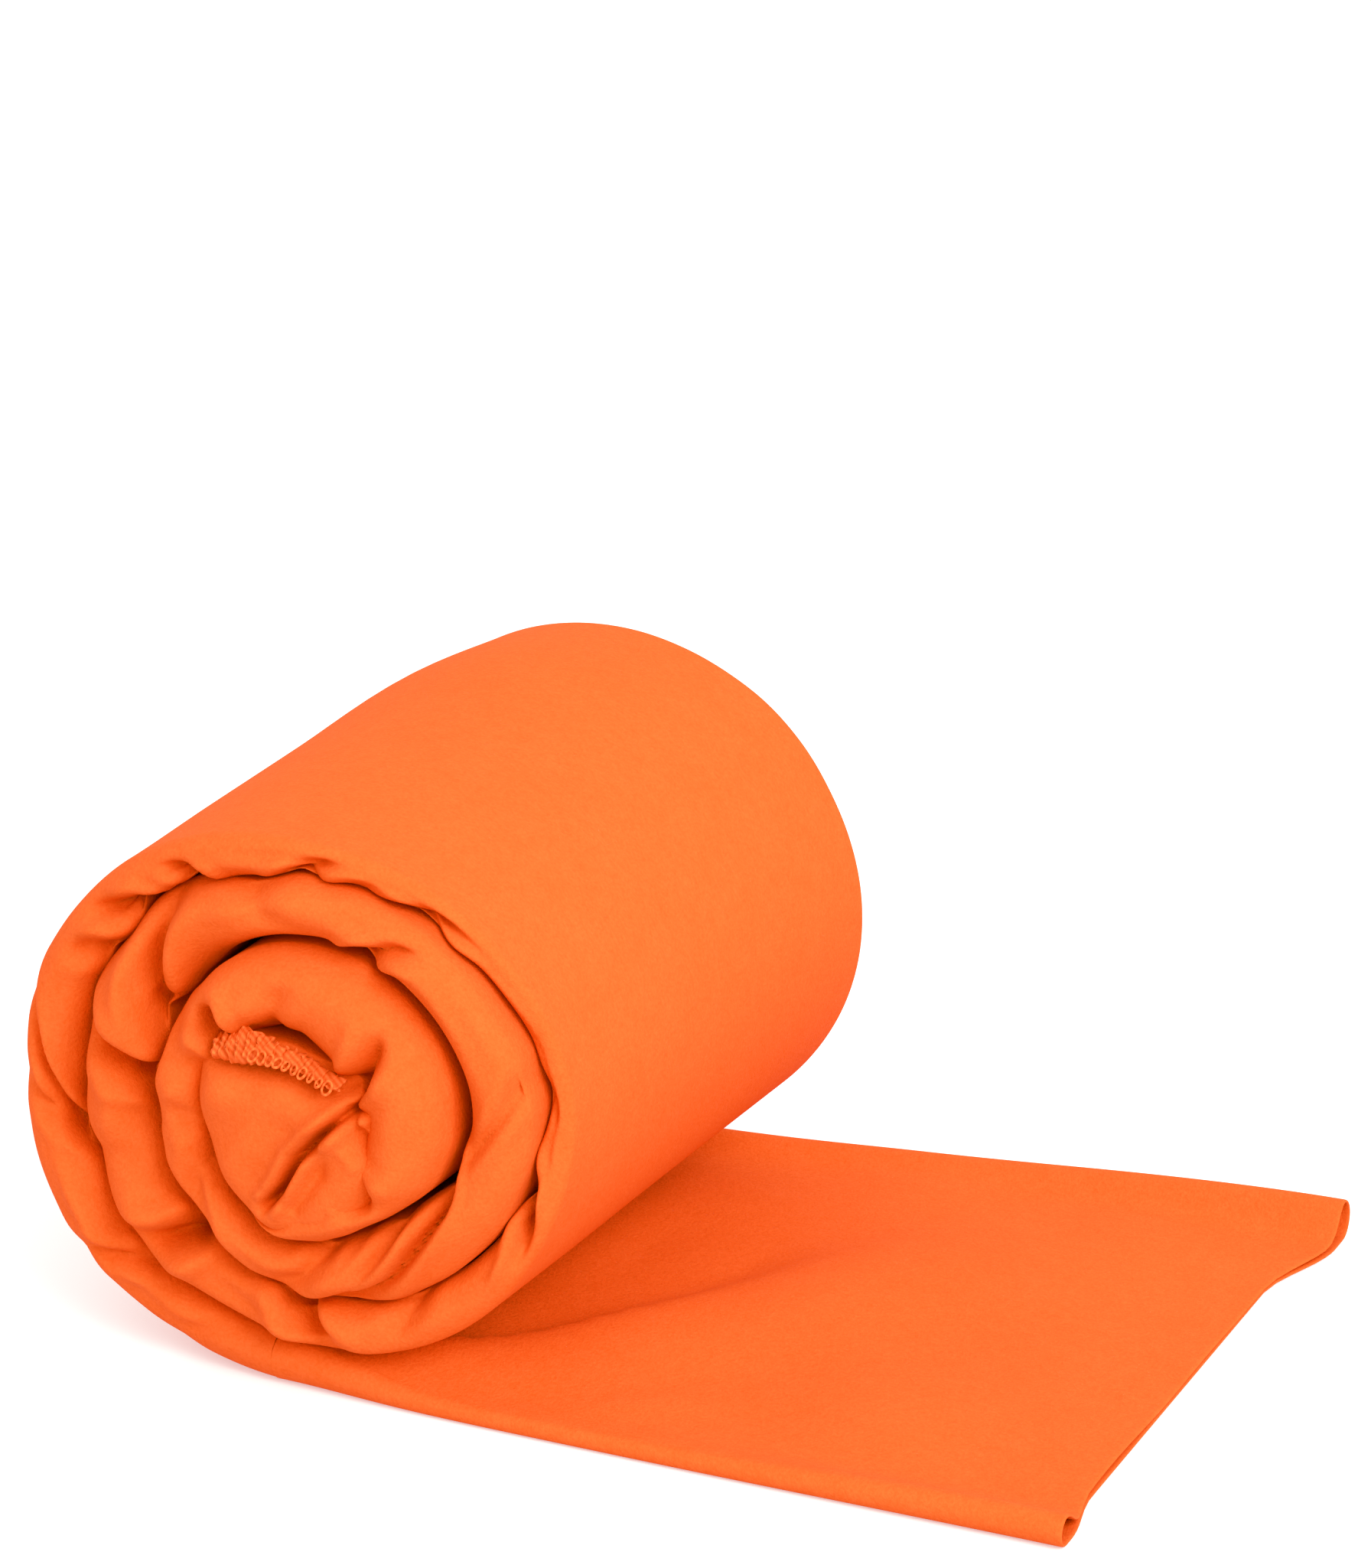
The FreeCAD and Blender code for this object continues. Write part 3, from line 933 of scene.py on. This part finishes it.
    def stitches(self, count: int = 10, around: int = 8, steps: int = 22) -> Array:
        """The overlock loops: small rings of thread side by side along the ribbon, clear of its left end.

        Each loop is an ellipse tilted a little out of the face, drawn as a thin tube.
        """
        part = 0.34 + 0.65 * (np.arange(count) + 0.5) / count
        spacing = 1.0 / (len(self.hem_foot) - 1)
        foot = through_points(self.hem_foot, spacing, part)
        top = through_points(self.hem_top, spacing, part)
        across = self.hem_start + (self.hem_end - self.hem_start) * part
        draw = np.random.default_rng(5)
        size = 0.85 + 0.6 * draw.random(count)
        tilt = draw.normal(0, 0.5, count)
        turn = np.arange(steps) / steps * 2 * math.pi
        ring_x = across[:, None] + 0.75 * size[:, None] * np.cos(turn) + 0.3 * np.sin(turn)
        ring_z = (foot + (top - foot) * 0.55)[:, None] + 0.9 * size[:, None] * np.sin(turn)
        front = -self.coil.half_width - self.thread_forward
        ring_y = front + 0.6 * np.sin(turn + tilt[:, None])
        angle = np.arange(around) / around * 2 * math.pi
        outward = np.stack([np.cos(turn), 0 * turn, np.sin(turn)], axis=-1)
        centre = np.stack([ring_x, ring_y, ring_z], axis=-1)[:, :, None, :]
        tube = self.thread_radius * (
            np.cos(angle)[None, None, :, None] * outward[None, :, None, :]
            + np.sin(angle)[None, None, :, None] * np.array([0.0, 1.0, 0.0])
        )
        place = np.array([self.coil.axis_x, self.coil.middle_y, 0.0])
        return centre + tube + place


# ---------------------------------------------------------------- assembly


@dataclass
class Towel:
    """The whole towel: it builds and dresses every piece."""

    frame: dict
    cloth: bpy.types.Material
    thread: bpy.types.Material
    strip_width: float = 0.156
    developed_layers: int = 2
    middle_split: float = 540.0
    turn_ends: tuple[float, float, float] = (360.0, 720.0, 1080.0)

    def __post_init__(self) -> None:
        """Reads the sizes of the strip from the frame."""
        low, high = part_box("outer_turn")
        diameter = (high.z - low.z) / MM
        self.coil = Coil(
            axis_x=low.x / MM + diameter / 2,
            middle_y=(low.y + high.y) / 2 / MM,
            centre_height=diameter / 2,
            half_width=(high.y - low.y) / 2 / MM,
        )
        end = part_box("tail_5_upper_layer")[1].x / MM
        self.tail = Tail(self.coil, reach=end - self.coil.axis_x)
        self.core = Core(self.coil)

    def _dress(self, piece: bpy.types.Object, material: bpy.types.Material) -> None:
        """Gives a piece its material and logs how many faces it has."""
        piece.data.materials.append(material)
        LOG.info("%s: %d faces", piece.name, len(piece.data.polygons))

    def _declare_sheet(
        self, length: float
    ) -> None:
        """Works out the flat size of a stretch of the strip, as wide as its skin opens out, and does nothing
        more with it.
        """
        flat = (self.strip_width * self.developed_layers, length)

    def build_core(self) -> list[bpy.types.Object]:
        """Builds the tongue, the gathered edge and its stitches, all on the core."""
        skin = self.core.face()[:, ::-1]
        tongue = grid_mesh("core_tongue_cloth", skin, close_columns=True, cap_ends=True)
        self._dress(tongue, self.cloth)
        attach(tongue, Body.CORE.value)
        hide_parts("core_tongue")
        ribbon = grid_mesh("hem_ribbon", self.core.ribbon())
        add_wall(ribbon, 0.5)
        self._dress(ribbon, self.thread)
        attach(ribbon, Body.CORE.value)
        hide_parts("core_hem")
        loops = self.core.stitches()
        points = loops.reshape(-1, 3)
        count, steps, around = loops.shape[:3]
        loop, step, side = np.meshgrid(np.arange(count), np.arange(steps), np.arange(around), indexing="ij")

        def index(a: Array, b: Array) -> Array:
            """The number of the point at step a round the loop and step b round the thread."""
            return (loop * steps + a % steps) * around + b % around

        corners = [index(step, side), index(step, side + 1), index(step + 1, side + 1), index(step + 1, side)]
        faces = np.stack(corners, axis=-1).reshape(-1, 4)
        stitches = face_mesh("hem_stitches", points, faces)
        self._dress(stitches, self.thread)
        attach(stitches, Body.CORE.value)
        return [ribbon, stitches]

    def build_coil(self) -> None:
        """Builds the turns: two on the roll, half a turn that joins them, and one on the core."""
        first, second, third = self.turn_ends
        stretches = (
            ("outer_turn_cloth", 0.0, first, Body.ROLL, ("outer_turn",)),
            ("middle_turn_cloth", first, self.middle_split, Body.ROLL, ("middle_turn",)),
            ("joining_turn_cloth", self.middle_split, second, None, ()),
            ("inner_turn_cloth", second, third + 24.0, Body.CORE, ("inner_turn",)),
        )
        for name, start, end, body, nodes in stretches:
            piece = grid_mesh(name, self.coil.stretch(start, end), close_columns=True)
            self._dress(piece, self.cloth)
            if body is None:
                top = self.coil.centre_height + float(self.coil.radius(np.array([start]))[0])
                foot = self.coil.centre_height - float(self.coil.radius(np.array([end]))[0])
                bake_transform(piece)
            else:
                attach(piece, body.value)
            if nodes:
                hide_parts(*nodes)
            self._declare_sheet(self.coil.length(start, end))

    def build_tail(self) -> None:
        """Builds the tail: a root, a piece across each hinge, and a free end."""
        hinges = [j for j in self.frame["joints"] if j["name"].startswith("tail_bend_")]
        pivots = [j["pos_m"][0] / MM - self.coil.axis_x for j in hinges]
        spacing = pivots[1] - pivots[0]
        cuts = [pivots[0] * 0.65] + [pivot + spacing / 2 for pivot in pivots]
        self._tail_piece("tail_root_cloth", 0.0, cuts[0], "tail_root", Body.ROLL.value, None)
        for number, joint in enumerate(hinges):
            name = "tail_bend_%d_cloth" % (number + 1)
            near, far = joint["parent"], joint["child"]
            self._tail_piece(name, cuts[number], cuts[number + 1], far, near, far)
        last = hinges[-1]["child"]
        self._tail_piece("tail_end_cloth", cuts[-1], self.tail.reach, None, last, None)

    def _tail_piece(
        self, name: str, start: float, end: float, nodes: str | None, near: str, far: str | None
    ) -> None:
        """Builds one stretch of the tail.

        Args:
            name: The piece's name.
            start: Where it starts, in millimetres from the roll's axis.
            end: Where it ends.
            nodes: What the CAD nodes that it stands for are called, before _lower_layer.
            near: The body that it is parented to, where far is None.
            far: The body at its end, if that is another; the piece is then parented to no body.
        """
        free = end >= self.tail.reach
        skin = self.tail.open_end(start) if free else self.tail.stretch(start, end)
        piece = grid_mesh(name, skin, close_columns=True)
        self._dress(piece, self.cloth)
        if far is None:
            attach(piece, near)
        else:
            (self.coil.axis_x + start) * MM
            (self.coil.axis_x + end) * MM
            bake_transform(piece)
        if nodes:
            parts = ("lower_layer", "upper_layer", "front_fold", "back_fold")
            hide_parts(*["%s_%s" % (nodes, part) for part in parts])
        turned_in = self.tail.hem_turned_in if free else 0.0
        self._declare_sheet((end - start + turned_in) * MM)

    def build(self) -> None:
        """Builds every piece in order, from the middle of the roll to the end of the tail."""
        on_core = self.build_core()
        self.build_coil()
        self.build_tail()


@dataclass
class Studio:
    """The floor, the lights and the camera.

    The camera's place, direction and lens come from a least-squares fit made by another program.
    """

    floor_size: float = 14.0
    floor_gap: float = 0.0002
    sky: float = 1.45
    aim: tuple[float, float, float] = (0.0, 0.0, 0.05)
    camera_from_roll: tuple[float, float, float] = (0.41619, -0.75796, 0.36985)
    camera_back: tuple[float, float, float] = (0.40955, -0.8649, 0.29021)
    lens: float = 96.63
    gamma: float = 0.8
    red_tones: tuple[tuple[float, float], ...] = ((0.12, 0.19), (0.34, 0.42), (0.66, 0.78))
    blue_tones: tuple[tuple[float, float], ...] = (
        (0.015, 0.0015), (0.035, 0.026), (0.055, 0.061), (0.15, 0.16),
    )

    def build_floor(self) -> None:
        """Lays a large pale floor."""
        half = self.floor_size / 2 / MM
        front = [[-half, -half, 0.0], [half, -half, 0.0]]
        back = [[-half, half, 0.0], [half, half, 0.0]]
        floor = grid_mesh("floor", np.array([front, back])[:, ::-1])
        floor.location.z = -self.floor_gap
        floor.data.materials.append(PaleFloor().material())

    def add_light(self, name: str, place: tuple[float, float, float], size: float, power: float) -> None:
        """Adds a square soft light that faces the towel.

        Args:
            name: The light's name.
            place: Where it is, in metres.
            size: Its side, in metres.
            power: Its power, in watts.
        """
        data = bpy.data.lights.new(name, "AREA")
        data.energy = power
        data.size = size
        light = bpy.data.objects.new(name, data)
        light.location = place
        light.rotation_euler = (Vector(self.aim) - Vector(place)).to_track_quat("-Z", "Y").to_euler()
        bpy.context.scene.collection.objects.link(light)

    def build_lights(self) -> None:
        """Lights the towel from the upper right, with a weaker light in front and a pale sky."""
        self.add_light("key", (1.5, -1.0, 1.3), size=1.1, power=42.0)
        self.add_light("front", (0.9, -1.9, 1.2), size=1.0, power=7.0)
        world = bpy.data.worlds.new("pale_sky")
        world.use_nodes = True
        sky = world.node_tree.nodes["Background"]
        sky.inputs["Color"].default_value = (1.0, 0.985, 0.97, 1.0)
        sky.inputs["Strength"].default_value = self.sky
        bpy.context.scene.world = world

    def set_tones(self) -> None:
        """Sets the view's tones: shaded orange keeps its red and loses its blue, as bright dye does.

        Each pair in red_tones and blue_tones is a level before and after.
        """
        view = bpy.context.scene.view_settings
        view.view_transform = "Standard"
        view.gamma = self.gamma
        view.use_curve_mapping = True
        red, _, blue, _ = view.curve_mapping.curves
        for curve, tones in ((red, self.red_tones), (blue, self.blue_tones)):
            for before, after in tones:
                curve.points.new(before, after)
        view.curve_mapping.update()

    def build_camera(self, roll_foot: tuple[float, float, float]) -> None:
        """Sets the camera on the side of the tail, looking down at the front of the roll.

        Args:
            roll_foot: Where the middle of the roll rests on the floor, in metres.
        """
        data = bpy.data.cameras.new("camera")
        data.lens = self.lens
        camera = bpy.data.objects.new("camera", data)
        camera.location = Vector(roll_foot) + Vector(self.camera_from_roll)
        camera.rotation_mode = "QUATERNION"
        camera.rotation_quaternion = (-Vector(self.camera_back)).to_track_quat("-Z", "Y")
        bpy.context.scene.collection.objects.link(camera)
        bpy.context.scene.camera = camera


def clear_scene() -> None:
    """Removes what a new Blender file holds."""
    for item in list(bpy.data.objects):
        bpy.data.objects.remove(item)


def main() -> None:
    """Builds the towel and its studio in order."""
    logging.basicConfig(level=logging.INFO, format="%(name)s %(message)s")
    clear_scene()
    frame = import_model()
    studio = Studio()
    studio.build_floor()
    towel = Towel(frame, BrushedMicrofibre().material(), OverlockThread().material())
    towel.build()
    studio.build_lights()
    studio.set_tones()
    studio.build_camera((towel.coil.axis_x * MM, towel.coil.middle_y * MM, 0.0))


if __name__ == "__main__":
    main()
